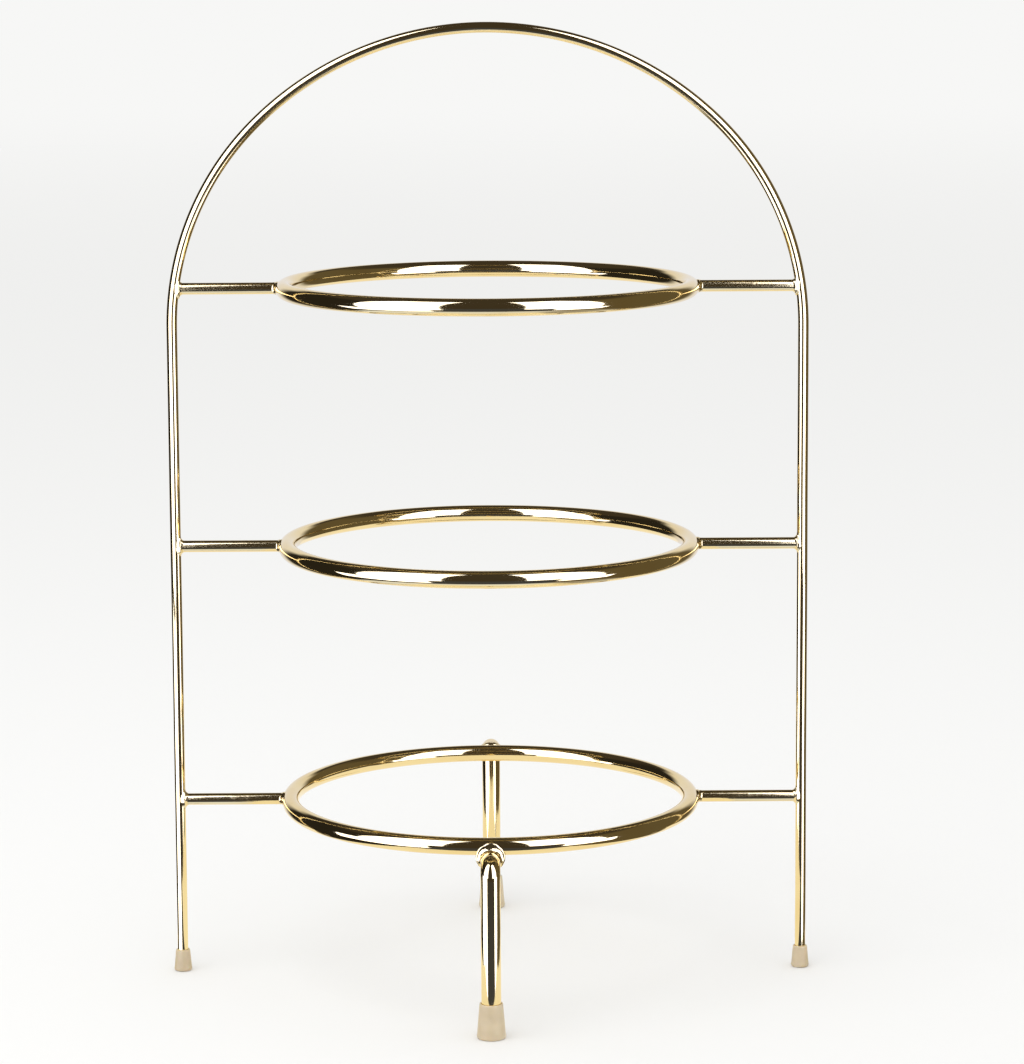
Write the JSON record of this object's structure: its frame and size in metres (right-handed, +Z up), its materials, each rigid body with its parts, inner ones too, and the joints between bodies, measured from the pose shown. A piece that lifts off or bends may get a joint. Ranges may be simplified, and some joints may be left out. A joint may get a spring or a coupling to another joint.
{
  "type": "tiered cake stand",
  "caption": "Wire plate stand: an arch of thin rod holds level rings one above another on short side arms, with bent front and rear legs and soft foot caps.",
  "frame": {"origin": "on the floor under the centre of the rings: the middle of the four feet, at the undersides of the foot caps", "axes": "+Z up through the ring centres, +X along the arch to the right, +Y to the rear"},
  "size_m": [0.3032, 0.237, 0.4499],
  "materials": {
    "polished_gold": "steel wire, bright gold plating, mirror polished",
    "weld_gold": "weld metal, bright gold plating over a slightly uneven surface",
    "foot_plastic": "soft milky beige plastic, semi-matt, slightly see-through"
  },
  "bodies": {
    "root": {"arch_frame": "polished_gold", "bottom_ring": "polished_gold", "bottom_left_arm": "polished_gold", "bottom_right_arm": "polished_gold", "bottom_arch_welds": "weld_gold", "bottom_ring_welds": "weld_gold", "middle_ring": "polished_gold", "middle_left_arm": "polished_gold", "middle_right_arm": "polished_gold", "middle_arch_welds": "weld_gold", "middle_ring_welds": "weld_gold", "top_ring": "polished_gold", "top_left_arm": "polished_gold", "top_right_arm": "polished_gold", "top_arch_welds": "weld_gold", "top_ring_welds": "weld_gold", "front_leg": "polished_gold", "rear_leg": "polished_gold", "leg_welds": "weld_gold", "front_foot_cap": "foot_plastic", "rear_foot_cap": "foot_plastic", "left_foot_cap": "foot_plastic", "right_foot_cap": "foot_plastic"}
  },
  "joints": []
}
